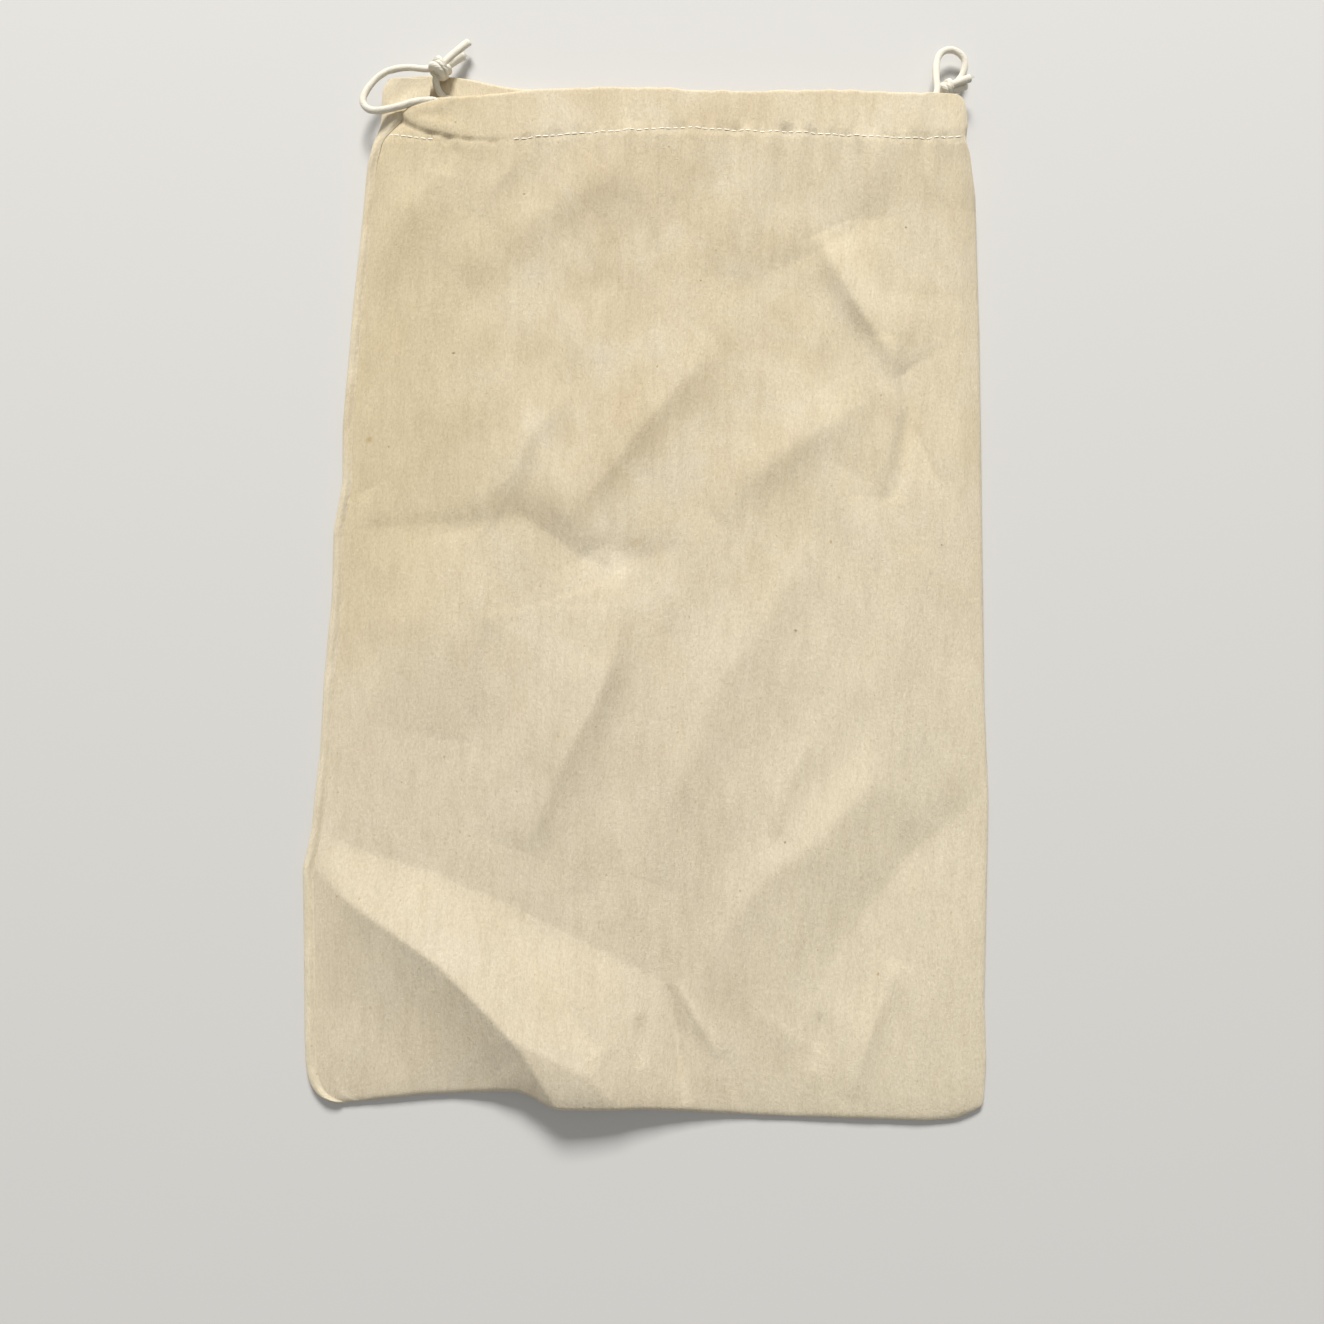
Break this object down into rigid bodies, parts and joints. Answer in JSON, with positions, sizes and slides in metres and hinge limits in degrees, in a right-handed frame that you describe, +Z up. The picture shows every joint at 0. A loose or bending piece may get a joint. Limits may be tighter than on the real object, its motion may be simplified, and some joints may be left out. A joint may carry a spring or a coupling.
{
  "type": "drawstring dust bag",
  "caption": "Flat cotton-flannel drawstring bag that stores a bucket bag, with a cord casing at the mouth and a knotted drawstring at each side.",
  "frame": {"origin": "under the middle of the bag's bounding box, on the surface it lies on", "axes": "+X across the bag to its right side, +Y along its length towards the mouth, +Z up out of the front panel"},
  "size_m": [0.298, 0.4812, 0.0144],
  "materials": {
    "flannel": "soft brushed cotton flannel, unbleached cream, matte",
    "sewing_thread": "fine cotton sewing thread, ivory",
    "drawstring": "soft flat-lying woven cotton cord, ivory"
  },
  "bodies": {
    "bag": {"front_panel": "flannel", "back_panel": "flannel", "front_casing_stitching": "sewing_thread", "back_casing_stitching": "sewing_thread", "left_seam_stitching": "sewing_thread", "right_seam_stitching": "sewing_thread", "bottom_seam_stitching": "sewing_thread", "left_slit_bartack": "sewing_thread", "right_slit_bartack": "sewing_thread"},
    "left_drawstring": {"left_cord_in_casings": "drawstring", "left_cord_loop": "drawstring", "left_cord_back_strand": "drawstring", "left_cord_knot": "drawstring", "left_cord_long_tail": "drawstring", "left_cord_short_tail": "drawstring"},
    "right_drawstring": {"right_cord_in_casings": "drawstring", "right_cord_loop": "drawstring", "right_cord_back_strand": "drawstring", "right_cord_knot": "drawstring", "right_cord_long_tail": "drawstring", "right_cord_short_tail": "drawstring"}
  },
  "joints": [
    {"name": "left_drawstring_pull", "type": "slide", "parent": "bag", "child": "left_drawstring", "axis": [-1, 0, 0], "range_m": [0, 0.06], "deforming": ["front_panel", "back_panel", "front_casing_stitching", "back_casing_stitching", "left_seam_stitching", "right_seam_stitching", "left_slit_bartack", "right_slit_bartack"]},
    {"name": "right_drawstring_pull", "type": "slide", "parent": "bag", "child": "right_drawstring", "axis": [1, 0, 0], "range_m": [0, 0.06], "deforming": ["front_panel", "back_panel", "front_casing_stitching", "back_casing_stitching", "left_seam_stitching", "right_seam_stitching", "left_slit_bartack", "right_slit_bartack"]}
  ]
}
